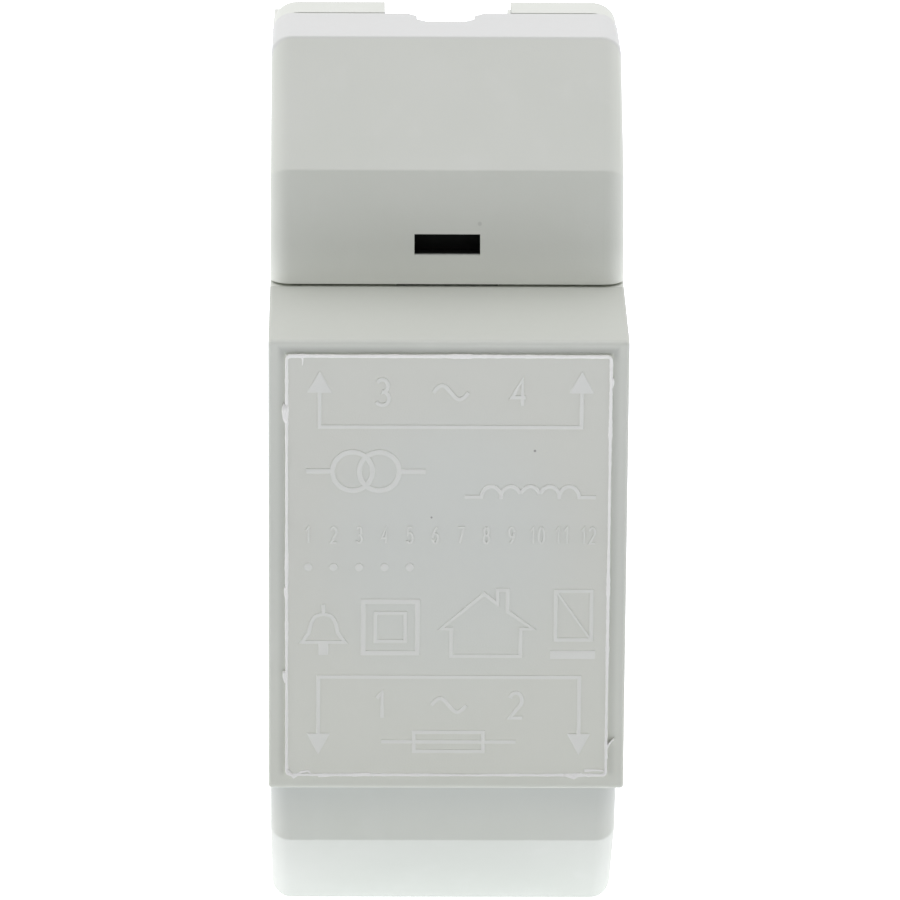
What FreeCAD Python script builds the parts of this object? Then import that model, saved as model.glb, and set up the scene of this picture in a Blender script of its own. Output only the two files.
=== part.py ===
import FreeCAD, Part
import os
import re
import Sketcher
from FreeCAD import Rotation, Vector

# Doorbell transformer, two modules wide, for a 35 mm mounting rail.
# The origin is the middle of the rail seat. X runs to the right, the front faces -Y and Z is up.
# Depths are counted forward from the rail seat, heights from the middle of the rail.

os.makedirs("parts", exist_ok=True)
doc = FreeCAD.newDocument("doorbell_transformer")

# Driving dimensions in millimetres

SIZES = {
    # Outer form
    "body_width": 35.0,
    "body_height": 91.7,
    "nose_height": 45.9,
    "nose_depth": 55.0,
    "foot_depth": 5.5,
    "seam_depth": 14.3,
    "seam_gap": 0.3,
    "wall": 1.6,
    "floor": 2.0,
    "front_wall": 1.8,
    "shelf_wall": 1.5,
    "shelf_rise": 1.2,
    "shelf_slope": 16.0,
    "nose_edge_round": 0.5,
    "nose_side_round": 0.3,
    # Raised plate on the nose
    "panel_side": 1.7,
    "panel_above": 1.35,
    "panel_below": 1.5,
    "panel_raise": 0.4,
    # Terminal covers
    "cover_depth": 25.3,
    "lip_gap": 0.22,
    "facet_lean": 3.1,
    "facet_rise": 10.78,
    "crown_back": 15.1,
    "ridge_round": 0.4,
    "corner_round": 2.0,
    "notch_half": 2.9,
    "notch_flare": 1.1,
    "notch_length": 3.5,
    "notch_corner": 1.0,
    "slot_half": 3.25,
    "slot_rise": 2.73,
    "slot_tall": 2.0,
    "tab_thick": 1.2,
    "tab_height": 2.8,
    "tab_reach": 5.0,
    # Catch tongue and nib
    "tongue_half": 3.9,
    "tongue_back": 8.6,
    "tongue_thick": 1.3,
    "tongue_drop": 2.2,
    "nib_reach": 1.3,
    "nib_height": 1.8,
    "ledge_thick": 1.4,
    # Base: ears, feet and rail channel
    "ear_length": 4.7,
    "ear_slope": 2.5,
    "ear_back": 1.3,
    "ear_round": 2.6,
    "rear_step": 4.35,
    "cable_gap_left": 6.1,
    "cable_gap_right": 6.7,
    "gap_drop": 1.9,
    "rail_height": 35.8,
    "rail_thick": 1.2,
    "hook_reach": 1.8,
    "hook_thick": 2.2,
    "hook_edge": 0.9,
    "hook_length": 26.0,
    "foot_rim": 2.0,
    "foot_skin": 0.6,
    "screw_end": 7.5,
    "screw_hole": 4.2,
    "screw_head": 7.2,
    "boss_radius": 4.0,
    "boss_rib": 1.5,
    # Rail latch and its spring
    "latch_side": 7.5,
    "latch_thick": 3.0,
    "latch_clear": 2.0,
    "latch_stop": 0.3,
    "latch_bar": 2.6,
    "tail_length": 3.7,
    "tail_slot": 1.6,
    "tail_slot_half": 3.0,
    "slide_gap": 0.1,
    "guide_lip": 1.4,
    "spring_wire": 0.5,
    "spring_radius": 1.2,
    "spring_pitch": 2.25,
    # Laminated core and its strap
    "core_margin": 5.0,
    "core_front": 9.5,
    "core_rear": 3.5,
    "core_side": 10.0,
    "core_rivet": 3.2,
    "clamp_sheet": 0.8,
    "clamp_width": 13.0,
    "clamp_fold": 2.2,
    "rib_width": 3.0,
    "rib_height": 8.5,
    # Coil former, windings and wraps
    "tube_gap": 0.2,
    "tube_wall": 0.9,
    "flange_gap": 1.1,
    "flange_clear": 0.3,
    "flange_thick": 1.0,
    "flange_round": 1.2,
    "winding_step": 0.8,
    "winding_less": 0.5,
    "winding_round": 3.0,
    "tape_thick": 0.3,
    # Pins, cut-out and leads
    "pin_offset": 4.0,
    "pin_side": 0.8,
    "pin_length": 4.0,
    "fuse_pitch": 12.0,
    "fuse_radius": 1.7,
    "fuse_end": 1.7,
    "fuse_drop": 2.7,
    "fuse_leg": 0.4,
    "lead_radius": 0.8,
    "lead_hole": 1.4,
    "lead_tail": 3.6,
    # Terminals
    "block_gap": 1.8,
    "block_end": 3.5,
    "bridge_height": 3.0,
    "tower_side": 0.3,
    "tower_width": 9.8,
    "tower_wall": 1.1,
    "cage_gap": 0.05,
    "cage_sheet": 1.0,
    "cage_front": 1.6,
    "cage_below": 4.5,
    "cage_above": 4.9,
    "cage_recess": 0.6,
    "wire_half": 2.6,
    "head_radius": 2.9,
    "head_height": 2.0,
    "shank_radius": 1.6,
    "shank_tip": 1.8,
    "drive_slot": 0.9,
    "drive_reach": 2.0,
    "drive_depth": 1.2,
}

# Sizes that follow from the ones above: what fits in, seats on or lines up with another piece

RELATED = {
    "shelf_half": "nose_height / 2 + shelf_rise",
    "rear_half": "body_height / 2 - rear_step",
    "rail_half": "rail_height / 2",
    "inner_half": "body_width / 2 - wall",
    "ear_depth": "seam_depth - ear_length",
    "step_depth": "ear_depth - ear_slope",
    "lip_depth": "seam_depth + cover_depth",
    "lip_height": "shelf_half + lip_gap",
    "facet_depth": "lip_depth - facet_lean",
    "facet_height": "lip_height + facet_rise",
    "crown_depth": "lip_depth - crown_back",
    "cover_rear": "seam_depth + seam_gap",
    "slot_low": "lip_height + slot_rise",
    "tongue_depth": "lip_depth - tongue_back",
    "tongue_front": "tongue_depth + tongue_thick",
    "tongue_high": "facet_height - tongue_drop",
    "screw_height": "rear_half - screw_end",
    "boss_top": "screw_height - boss_radius",
    "latch_half": "body_width / 2 - latch_side",
    "latch_inner": "boss_radius + latch_clear",
    "bar_low": "rail_half + latch_bar",
    "stop_low": "screw_height + boss_radius + latch_stop",
    "latch_tail": "stop_low + tail_length",
    "core_height": "nose_height - 2 * core_margin",
    "core_length": "nose_depth - core_front - core_rear",
    "core_stack": "body_width - 2 * core_side",
    "core_leg": "core_length / 3",
    "core_middle": "core_rear + core_length / 2",
    "window_half": "core_height / 2 - core_leg / 2",
    "former_half": "window_half - tube_gap",
    "flange_across": "inner_half - flange_gap",
    "flange_along": "core_leg - flange_clear",
    "pin_across": "core_stack / 2 + pin_offset",
    "lead_across": "pin_across - pin_side / 2 - lead_radius",
    "wire_depth": "core_middle - fuse_pitch / 2",
    "fuse_height": "window_half + fuse_drop",
    "block_low": "shelf_half + block_gap",
    "block_high": "rear_half - wall - block_end",
    "block_mid": "(block_low + block_high) / 2",
    "cage_depth": "wire_depth - cage_below",
    "block_depth": "wire_depth + cage_above + cage_recess",
    "tower_outer": "inner_half - tower_side",
    "tower_inner": "tower_outer - tower_width",
    "tower_middle": "tower_outer - tower_width / 2",
    "lead_end": "block_low + lead_tail",
}

sheet = doc.addObject("Spreadsheet::Sheet", "Sizes")
rows = [(name, str(number)) for name, number in SIZES.items()]
rows += [(name, "=" + rule) for name, rule in RELATED.items()]
for row, (name, content) in enumerate(rows, start=1):
    sheet.set("A%d" % row, name)
    sheet.setAlias("B%d" % row, name)
for row, (name, content) in enumerate(rows, start=1):
    sheet.set("B%d" % row, content)
doc.recompute()


def size(name):
    """Present value of one dimension of the sheet."""
    return float(sheet.get(name))


def bind(text):
    """Size expression with every dimension name pointed at the sheet."""
    return re.sub(r"[a-z][a-z_]+(?!\w*\()", lambda word: "Sizes." + word.group(0), str(text))


def facing(text, side):
    """Size expression as it stands, or negated for the opposite end or hand."""
    return text if side > 0 else "-(%s)" % text


def new_body(label):
    """Empty body that carries one named piece."""
    body = doc.addObject("PartDesign::Body", "Body_" + label)
    body.Label = label
    body.AllowCompound = True
    return body


def new_sketch(body, plane, offset="0"):
    """Sketch on one of the body's own planes, moved along its normal."""
    sketch = body.newObject("Sketcher::SketchObject", body.Label + "_sketch")
    origin = [item for item in body.Origin.OriginFeatures if item.Role == plane][0]
    sketch.AttachmentSupport = [(origin, "")]
    sketch.MapMode = "FlatFace"
    sketch.setExpression("AttachmentOffset.Base.z", bind(offset))
    return sketch


def hold(sketch, kind, edge, point, text, start):
    """One distance of a point from the middle of the sketch, bound to the sheet."""
    number = sketch.addConstraint(Sketcher.Constraint(kind, -1, 1, edge, point, start))
    sketch.setExpression("Constraints[%d]" % number, bind(text))


def locate(sketch, edge, point, across, up):
    """Both distances of a point from the middle of the sketch."""
    here = sketch.getPoint(edge, point)
    hold(sketch, "DistanceX", edge, point, across, here.x)
    hold(sketch, "DistanceY", edge, point, up, here.y)


def outline(sketch, corners):
    """Closed chain of straight edges through corners given as size expressions."""
    first, count = sketch.GeometryCount, len(corners)
    spread = Vector(size("body_width"), 0, 0)
    start = [Rotation(Vector(0, 0, 1), 360.0 * k / count).multVec(spread) for k in range(count)]
    for k in range(count):
        sketch.addGeometry(Part.LineSegment(start[k], start[(k + 1) % count]), False)
    for k in range(count):
        sketch.addConstraint(Sketcher.Constraint("Coincident", first + k, 2, first + (k + 1) % count, 1))
    for k, (across, up) in enumerate(corners):
        locate(sketch, first + k, 1, across, up)


def rectangle(sketch, left, right, low, high):
    """Four straight edges square to the sketch axes."""
    outline(sketch, [(left, low), (right, low), (right, high), (left, high)])


def circle(sketch, across, up, radius):
    """Circle held by its centre and radius."""
    edge = sketch.addGeometry(Part.Circle(Vector(1, 1, 0), Vector(0, 0, 1), 1), False)
    locate(sketch, edge, 3, across, up)
    number = sketch.addConstraint(Sketcher.Constraint("Radius", edge, 1.0))
    sketch.setExpression("Constraints[%d]" % number, bind(radius))


def extrude(kind, body, sketch, length, both_ways, backward):
    feature = body.newObject("PartDesign::" + kind, body.Label + "_" + kind.lower())
    feature.Profile = sketch
    feature.setExpression("Length", bind(length))
    if both_ways:
        feature.SideType = "Symmetric"
    feature.Reversed = backward
    sketch.Visibility = False
    doc.recompute()
    return feature


def pad(body, sketch, length, both_ways=False, backward=False):
    """Solid raised from a sketch."""
    return extrude("Pad", body, sketch, length, both_ways, backward)


def pocket(body, sketch, length, both_ways=False, backward=False):
    """Material taken away under a sketch, with a check that some really went."""
    before = body.Shape.Volume
    feature = extrude("Pocket", body, sketch, length, both_ways, backward)
    if not body.Shape.Volume < before - 1e-6:
        raise ValueError("nothing was cut from " + body.Label)
    return feature


def round_edges(body, radius, chosen):
    """Rounding of the edges whose middle point and direction pass a test."""
    tip = body.Tip
    names = []
    for number, edge in enumerate(tip.Shape.Edges, start=1):
        low, high = edge.ParameterRange
        if chosen(edge.valueAt((low + high) / 2), edge.tangentAt((low + high) / 2)):
            names.append("Edge%d" % number)
    if not names:
        raise ValueError("no edge to round on " + body.Label)
    feature = body.newObject("PartDesign::Fillet", body.Label + "_round")
    feature.Base = (tip, names)
    feature.setExpression("Radius", bind(radius))
    doc.recompute()
    return feature


def near(a, b, within=0.02):
    return abs(a - b) < within


def on_side(at):
    """True on the two flat sides of the housing."""
    return near(abs(at.x), size("body_width") / 2)


# Rear base: back wall with the rail channel, hollow feet, terminal bays and the screw bosses

def make_rear_base():
    body = new_body("rear_base")
    half = "body_height / 2"

    side = new_sketch(body, "YZ_Plane")
    outline(side, [
        ("-seam_depth", "-" + half), ("-ear_depth", "-" + half), ("-step_depth", "-rear_half"),
        ("foot_depth", "-rear_half"), ("foot_depth", "-rail_half"), ("0", "-rail_half"),
        ("0", "rail_half"), ("foot_depth", "rail_half"), ("foot_depth", "rear_half"),
        ("-step_depth", "rear_half"), ("-ear_depth", half), ("-seam_depth", half)])
    pad(body, side, "body_width", both_ways=True)
    round_edges(body, "ear_round", lambda at, to: near(abs(to.y), 1) and on_side(at)
                and near(abs(at.z), size("body_height") / 2))

    # Room for the core in the middle and the terminal bays at both ends
    rooms = new_sketch(body, "XZ_Plane", "seam_depth")
    rectangle(rooms, "-inner_half", "inner_half", "-(shelf_half - floor)", "shelf_half - floor")
    for end in (1, -1):
        rectangle(rooms, "-inner_half", "inner_half",
                  facing("shelf_half + seam_gap", end), facing("rear_half - wall", end))
    pocket(body, rooms, "seam_depth - floor")
    brows = new_sketch(body, "XZ_Plane", "seam_depth")
    for end in (1, -1):
        rectangle(brows, "-inner_half", "inner_half",
                  facing("rear_half - wall - 1", end), facing(half + " - wall", end))
    pocket(body, brows, "ear_length - ear_back")
    for end, down, deep in ((1, "rear_half - gap_drop", "seam_depth + foot_depth + 1"),
                            (-1, "rear_half + 0.1", "ear_length + ear_slope + 0.5")):
        gap = new_sketch(body, "XZ_Plane", "seam_depth")
        rectangle(gap, "-cable_gap_left", "cable_gap_right",
                  facing(down, end), facing(half + " + 1", end))
        pocket(body, gap, deep)

    # Hollows at the back of the feet, beside the upper boss and beside the latch
    hollows = new_sketch(body, "XZ_Plane", "-foot_depth")
    for hand in (1, -1):
        outer = facing("body_width / 2 - foot_rim", hand)
        rectangle(hollows, facing("boss_radius + boss_rib", hand), outer,
                  "rail_half + foot_rim", "rear_half - foot_rim")
        rectangle(hollows, facing("latch_half + foot_rim", hand), outer,
                  "-(rear_half - foot_rim)", "-(rail_half + foot_rim)")
    pocket(body, hollows, "foot_depth - foot_skin", backward=True)

    # Track of the rail latch, with two lips that keep it in
    track = new_sketch(body, "XZ_Plane", "-foot_depth")
    rectangle(track, "-(latch_half + slide_gap)", "latch_half + slide_gap",
              "-(rear_half + 1)", "-(rail_half - 0.5)")
    pocket(body, track, "foot_depth - rail_thick + slide_gap", backward=True)
    lips = new_sketch(body, "XZ_Plane", "-foot_depth")
    for hand in (1, -1):
        rectangle(lips, facing("latch_half - guide_lip", hand), facing("latch_half + foot_skin", hand),
                  "-rear_half", "-(rail_half + foot_rim)")
    pad(body, lips, "foot_depth - rail_thick - latch_thick - slide_gap")
    boss = new_sketch(body, "XZ_Plane", "-foot_depth")
    circle(boss, "0", "-screw_height", "boss_radius")
    pad(body, boss, "foot_depth")

    # Fixed hook that grips the upper edge of the rail
    hook = new_sketch(body, "YZ_Plane")
    outline(hook, [("rail_thick", "rail_half + 0.5"), ("rail_thick", "rail_half - hook_reach"),
                   ("rail_thick + hook_edge", "rail_half - hook_reach"),
                   ("rail_thick + hook_thick", "rail_half - hook_reach / 3"),
                   ("rail_thick + hook_thick", "rail_half + 0.5")])
    pad(body, hook, "hook_length", both_ways=True)

    # Low ribs under the core
    ribs = new_sketch(body, "XZ_Plane", "floor - 0.2")
    for end in (1, -1):
        rectangle(ribs, "-core_stack / 2", "core_stack / 2",
                  facing("rib_height", end), facing("rib_height + rib_width", end))
    pad(body, ribs, "core_rear - floor + 0.2")

    # Countersunk holes for the two wall screws
    holes = new_sketch(body, "XZ_Plane", "floor")
    for end in (1, -1):
        circle(holes, "0", facing("screw_height", end), "screw_hole / 2")
    doc.recompute()
    before = body.Shape.Volume
    hole = body.newObject("PartDesign::Hole", "rear_base_hole")
    hole.Profile = holes
    hole.ThreadType = "None"
    hole.DepthType = "ThroughAll"
    hole.HoleCutType = "Countersink"
    hole.HoleCutCustomValues = True
    hole.setExpression("Diameter", bind("screw_hole"))
    hole.setExpression("HoleCutDiameter", bind("screw_head"))
    doc.recompute()
    if not body.Shape.Volume < before:
        raise ValueError("the wall screw holes did not cut")
    return body


# Front shell: the nose with its raised panel, shelves for the covers and the catch tongues

def make_front_shell():
    body = new_body("front_shell")
    nose = "nose_height / 2"
    slope = "-(nose_depth - shelf_slope)"
    side = new_sketch(body, "YZ_Plane")
    outline(side, [("-nose_depth", "-" + nose), (slope, "-shelf_half"), ("-seam_depth", "-shelf_half"),
                   ("-seam_depth", "shelf_half"), (slope, "shelf_half"), ("-nose_depth", nose)])
    pad(body, side, "body_width", both_ways=True)
    front = -size("nose_depth")
    round_edges(body, "nose_edge_round", lambda at, to: near(abs(to.x), 1) and near(at.y, front))
    round_edges(body, "nose_side_round", lambda at, to: on_side(at) and at.y < -size("seam_depth") - 1)

    cavity = new_sketch(body, "XZ_Plane", "seam_depth")
    rectangle(cavity, "-inner_half", "inner_half", "-(%s - shelf_wall)" % nose, nose + " - shelf_wall")
    pocket(body, cavity, "nose_depth - seam_depth - front_wall", backward=True)

    panel = new_sketch(body, "XZ_Plane", "nose_depth - panel_raise")
    rectangle(panel, "-(body_width / 2 - panel_side)", "body_width / 2 - panel_side",
              "-(%s - panel_below)" % nose, nose + " - panel_above")
    pad(body, panel, "2 * panel_raise")

    # Holes that pass the four leads into the terminal bays
    passages = new_sketch(body, "XY_Plane", "shelf_half + 1")
    for hand in (1, -1):
        circle(passages, facing("lead_across", hand), "-wire_depth", "lead_hole")
    pocket(body, passages, "2 * shelf_half + 2")

    # Spring tongues that hold the two covers, each with a nib at its tip
    tongue = new_sketch(body, "YZ_Plane")
    root = nose + " - shelf_wall / 2"
    nib = "-(tongue_front + nib_reach)"
    for end in (1, -1):
        outline(tongue, [
            ("-tongue_depth", facing(root, end)), ("-tongue_depth", facing("tongue_high", end)),
            ("-tongue_front", facing("tongue_high", end)),
            (nib, facing("tongue_high - nib_height * 2 / 3", end)),
            (nib, facing("tongue_high - nib_height", end)),
            ("-tongue_front", facing("tongue_high - nib_height", end)),
            ("-tongue_front", facing(root, end))])
    pad(body, tongue, "2 * tongue_half", both_ways=True)

    # Ribs that steady the core from the front
    ribs = new_sketch(body, "XZ_Plane", "core_rear + core_length + clamp_sheet")
    for hand in (1, -1):
        rectangle(ribs, facing("clamp_width / 2 - rib_width", hand),
                  facing("clamp_width / 2 - rib_width / 2", hand),
                  "-(core_height / 2 - rib_width)", "core_height / 2 - rib_width")
    pad(body, ribs, "core_front - clamp_sheet - front_wall / 2")
    return body


# Terminal covers: faceted caps over the two terminal bays, with a cable notch in the rear edge

def make_terminal_cover(label, end):
    body = new_body(label)
    half = "body_height / 2"

    side = new_sketch(body, "YZ_Plane")
    outline(side, [("-lip_depth", facing("lip_height", end)), ("-facet_depth", facing("facet_height", end)),
                   ("-crown_depth", facing(half, end)), ("-cover_rear", facing(half, end)),
                   ("-cover_rear", facing("shelf_half + seam_gap", end))])
    pad(body, side, "body_width", both_ways=True)
    ridges = ((size("facet_depth"), size("facet_height")), (size("crown_depth"), size("body_height") / 2))
    round_edges(body, "ridge_round", lambda at, to: near(abs(to.x), 1) and any(
        near(at.y, -depth) and near(abs(at.z), height) for depth, height in ridges))
    round_edges(body, "corner_round", lambda at, to: on_side(at) and not near(at.y, -size("cover_rear"))
                and abs(at.z) > size("lip_height") + 1)

    hollow = new_sketch(body, "YZ_Plane")
    outline(hollow, [("-(lip_depth - wall)", facing("lip_height - wall", end)),
                     ("-(facet_depth - wall)", facing("facet_height - wall / 2", end)),
                     ("-(crown_depth - wall / 2)", facing(half + " - wall", end)),
                     ("-(cover_rear - wall)", facing(half + " - wall", end)),
                     ("-(cover_rear - wall)", facing("lip_height - wall", end))])
    pocket(body, hollow, "2 * inner_half", both_ways=True)

    # Cable notch with a flared mouth
    notch = new_sketch(body, "XY_Plane", facing(half + " + 1", end))
    floor = "-(cover_rear + notch_length)"
    waist = "-(cover_rear + notch_flare)"
    corner = [("notch_half + notch_flare", "-cover_rear + seam_gap / 2"), ("notch_half", waist),
              ("notch_half", floor + " + notch_corner"), ("notch_half - notch_corner", floor)]
    outline(notch, corner + [("-(%s)" % across, along) for across, along in reversed(corner)])
    pocket(body, notch, "wall + 2", backward=end < 0)

    if end > 0:
        # Release slot in front of the catch tongue
        slot = new_sketch(body, "XZ_Plane", "lip_depth + 1")
        rectangle(slot, "-slot_half", "slot_half", "slot_low", "slot_low + slot_tall")
        pocket(body, slot, "facet_lean + wall + 1")

    # Ledge caught under the nib of the tongue
    ledge = new_sketch(body, "YZ_Plane")
    under = "tongue_high - nib_height - slide_gap"
    tip = "-(tongue_front + seam_gap)"
    outline(ledge, [("-(lip_depth - 2 * wall + 0.4)", facing(under + " - ledge_thick", end)),
                    ("-(lip_depth - 2 * wall)", facing(under, end)), (tip, facing(under, end)),
                    (tip, facing(under + " - ledge_thick / 2", end)),
                    (tip + " - ledge_thick", facing(under + " - ledge_thick", end))])
    pad(body, ledge, "2 * tongue_half", both_ways=True)

    # Tabs that reach into the base along its side walls
    tabs = new_sketch(body, "XY_Plane", facing("rear_half - wall - tab_height - slide_gap", end))
    for hand in (1, -1):
        inner = facing("inner_half - tab_thick", hand)
        outer = facing("inner_half + wall / 4", hand)
        slip = facing("inner_half - slide_gap", hand)
        outline(tabs, [(inner, "-(cover_rear + tab_reach)"), (outer, "-(cover_rear + tab_reach)"),
                       (outer, "-cover_rear"), (slip, "-cover_rear"),
                       (slip, "-(cover_rear - tab_reach)"), (inner, "-(cover_rear - tab_reach + 1)")])
    pad(body, tabs, "tab_height", backward=end < 0)
    return body


# Rail latch: a fork round the lower screw boss, its bar grips the lower edge of the rail

def make_rail_latch():
    body = new_body("rail_latch")
    hook = "(rail_half - hook_reach)"
    plate = new_sketch(body, "XZ_Plane", "-(rail_thick + latch_thick)")
    rectangle(plate, "-latch_half", "latch_half", "-latch_tail", "-" + hook)
    rectangle(plate, "-latch_inner", "latch_inner", "-stop_low", "-bar_low")
    rectangle(plate, "-tail_slot_half", "tail_slot_half", "-((stop_low + latch_tail) / 2 + tail_slot / 2)",
              "-((stop_low + latch_tail) / 2 - tail_slot / 2)")
    pad(body, plate, "latch_thick")

    # The hook edge is bevelled so that it climbs over the rail
    relief = new_sketch(body, "YZ_Plane")
    outline(relief, [("rail_thick + hook_thick", "-(rail_half - slide_gap)"),
                     ("rail_thick + hook_edge", "-(%s - slide_gap)" % hook),
                     ("rail_thick + latch_thick + 1", "-(%s - slide_gap)" % hook),
                     ("rail_thick + latch_thick + 1", "-(rail_half - slide_gap)")])
    pocket(body, relief, "body_width", both_ways=True)
    round_edges(body, "foot_skin", lambda at, to: near(abs(to.y), 1) and near(at.z, -size("latch_tail")))
    return body


# Coil spring between the boss and the bar, its wire drawn with six flats

def make_latch_spring():
    body = new_body("latch_spring")
    wire = new_sketch(body, "XZ_Plane", "-(rail_thick + latch_thick / 2)")
    half = "spring_wire / 2"
    centre = "-(boss_top - %s)" % half
    outline(wire, [("spring_radius + %s * cos(%d)" % (half, turn),
                    "%s + %s * sin(%d)" % (centre, half, turn)) for turn in range(0, 360, 60)])
    coil = body.newObject("PartDesign::AdditiveHelix", "latch_spring_coil")
    coil.Profile = wire
    coil.ReferenceAxis = (wire, ["V_Axis"])
    coil.Mode = "height-turns-growth"
    coil.setExpression("Height", bind("boss_top - bar_low - spring_wire"))
    coil.setExpression("Turns", bind("(boss_top - bar_low - spring_wire) / spring_pitch"))
    wire.Visibility = False
    doc.recompute()
    return body


# Laminated core: E and I stacks, stacked along X, with the coil round the centre leg

def make_core():
    half, top, leg = "core_length / 2", "core_height / 2", "core_leg / 2"
    inner = "(%s - %s)" % (half, leg)
    e_right = [(half, "-" + top), (half, "window_half"), (inner, "window_half"), (inner, "-window_half"),
               (leg, "-window_half"), (leg, "window_half")]
    i_right = [(half, "window_half"), (half, top)]
    forms = (("core_e_laminations", e_right, -1), ("core_i_laminations", i_right, 1))
    for label, right, end in forms:
        body = new_body(label)
        blank = new_sketch(body, "YZ_Plane")
        corners = right + [("-" + along, up) for along, up in reversed(right)]
        outline(blank, [("-core_middle + (%s)" % along, up) for along, up in corners])
        for hand in (1, -1):
            circle(blank, "-core_middle + " + facing("(%s - core_leg / 4)" % half, hand),
                   facing("(%s - core_leg / 4)" % top, end), "core_rivet / 2")
        pad(body, blank, "core_stack", both_ways=True)


# Steel strap: a U folded round the core, with two short returns behind it

def make_core_clamp():
    body = new_body("core_clamp")
    front, high, back = "-(core_rear + core_length)", "core_height / 2", "-core_rear"
    upper = [(front, high), (back, high), (back, high + " - clamp_fold"),
             (back + " + clamp_sheet", high + " - clamp_fold"),
             (back + " + clamp_sheet", high + " + clamp_sheet"),
             (front + " - clamp_sheet", high + " + clamp_sheet")]
    strap = new_sketch(body, "YZ_Plane")
    outline(strap, upper + [(along, "-(%s)" % up) for along, up in reversed(upper)])
    pad(body, strap, "clamp_width", both_ways=True)
    return body


# Coil former, windings, wraps and pins

def ring(body, bottom, height, outer, inner):
    """Rectangular ring round the centre leg: half widths across and along, standing on a given height."""
    plane = new_sketch(body, "XY_Plane", bottom)
    for across, along in (outer, inner):
        rectangle(plane, "-(%s)" % across, across,
                  "-core_middle - (%s)" % along, "-core_middle + (%s)" % along)
    return pad(body, plane, height)


def round_uprights(body, radius, across):
    """Rounding of the upright edges that stand at one distance from the middle plane."""
    round_edges(body, radius, lambda at, to: near(abs(to.z), 1) and near(abs(at.x), across))


def pin_squares(plane, places):
    for across, along in places:
        middle = "-core_middle + " + along
        rectangle(plane, across + " - pin_side / 2", across + " + pin_side / 2",
                  middle + " - pin_side / 2", middle + " + pin_side / 2")


PINS_ABOVE = (("pin_across", "fuse_pitch / 2"), ("-pin_across", "fuse_pitch / 2"))
PINS_BELOW = PINS_ABOVE + (("pin_across", "-fuse_pitch / 2"),)


def make_coil():
    bare = ("core_stack / 2 + tube_gap", "core_leg / 2 + tube_gap")
    tube = tuple(text + " + tube_wall" for text in bare)
    flange = ("flange_across", "flange_along")

    former = new_body("coil_bobbin")
    ring(former, "-former_half", "2 * former_half", tube, bare)
    for bottom in ("-former_half", "-flange_thick / 2", "former_half - flange_thick"):
        ring(former, bottom, "flange_thick", flange, bare)
    round_uprights(former, "flange_round", size("flange_across"))
    for places, height, end in ((PINS_ABOVE, "former_half", 1), (PINS_BELOW, "-former_half", -1)):
        sockets = new_sketch(former, "XY_Plane", height)
        pin_squares(sockets, places)
        pocket(former, sockets, "flange_thick", backward=end < 0)

    for name, bottom, step, inset in (
            ("primary", "-former_half + flange_thick", "winding_step", size("winding_step")),
            ("secondary", "flange_thick / 2", "winding_step - winding_less",
             size("winding_step") + size("winding_less"))):
        height = "former_half - 1.5 * flange_thick"
        outer = tuple("%s - %s" % (text, step) for text in flange)
        wrap = tuple(text + " + tape_thick" for text in outer)
        across = size("flange_across") - inset
        winding = new_body(name + "_winding")
        ring(winding, bottom, height, outer, tube)
        round_uprights(winding, "winding_round", across)
        tape = new_body(name + "_tape")
        ring(tape, bottom, height, wrap, outer)
        round_uprights(tape, "winding_round", across)
        round_uprights(tape, "winding_round + tape_thick", across + size("tape_thick"))

    # Five solder pins: two above for the secondary, three below for the primary and its cut-out
    pins = new_body("bobbin_pins")
    for places, height, end in ((PINS_ABOVE, "former_half - flange_thick", 1),
                                (PINS_BELOW, "-(former_half - flange_thick)", -1)):
        plane = new_sketch(pins, "XY_Plane", height)
        pin_squares(plane, places)
        pad(pins, plane, "pin_length + flange_thick", backward=end < 0)


def make_thermal_fuse():
    body = new_body("thermal_fuse")
    for radius, inset in (("fuse_radius", "fuse_end"), ("fuse_leg", "pin_side / 2")):
        barrel = new_sketch(body, "XZ_Plane", "core_middle - (fuse_pitch / 2 - %s)" % inset)
        circle(barrel, "pin_across", "-fuse_height", radius)
        pad(body, barrel, "fuse_pitch - 2 * " + inset)
    return body


# Terminal carriers: two towers on a bridge, open in the middle over the wall screw

def make_terminal_block(label, end):
    body = new_body(label)
    form = new_sketch(body, "XZ_Plane", "floor")
    right = [("tower_outer", facing("block_low", end)), ("tower_outer", facing("block_high", end)),
             ("tower_inner", facing("block_high", end)),
             ("tower_inner", facing("block_low + bridge_height", end))]
    outline(form, right + [("-" + across, up) for across, up in reversed(right)])
    pad(body, form, "block_depth - floor")
    wells = new_sketch(body, "XZ_Plane", "block_depth")
    for hand in (1, -1):
        rectangle(wells, facing("tower_inner + tower_wall", hand), facing("tower_outer - tower_wall", hand),
                  facing("block_low + tower_wall", end), facing("block_high - tower_wall", end))
    pocket(body, wells, "block_depth - cage_depth")
    entries = new_sketch(body, "XY_Plane", facing("block_high + 1", end))
    for hand in (1, -1):
        rectangle(entries, facing("tower_middle - wire_half", hand),
                  facing("tower_middle + wire_half", hand),
                  "-(cage_depth + cage_sheet + 2 * wire_half)", "-(cage_depth + cage_sheet)")
    pocket(body, entries, "tower_wall + 2", backward=end < 0)
    passages = new_sketch(body, "XY_Plane", facing("block_low - 1", end))
    for hand in (1, -1):
        circle(passages, facing("lead_across", hand), "-wire_depth", "lead_hole")
    pocket(body, passages, "tower_wall + 2", backward=end > 0)
    return body


# Terminal cages: plated box clamps, the screw passes their front wall

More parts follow.
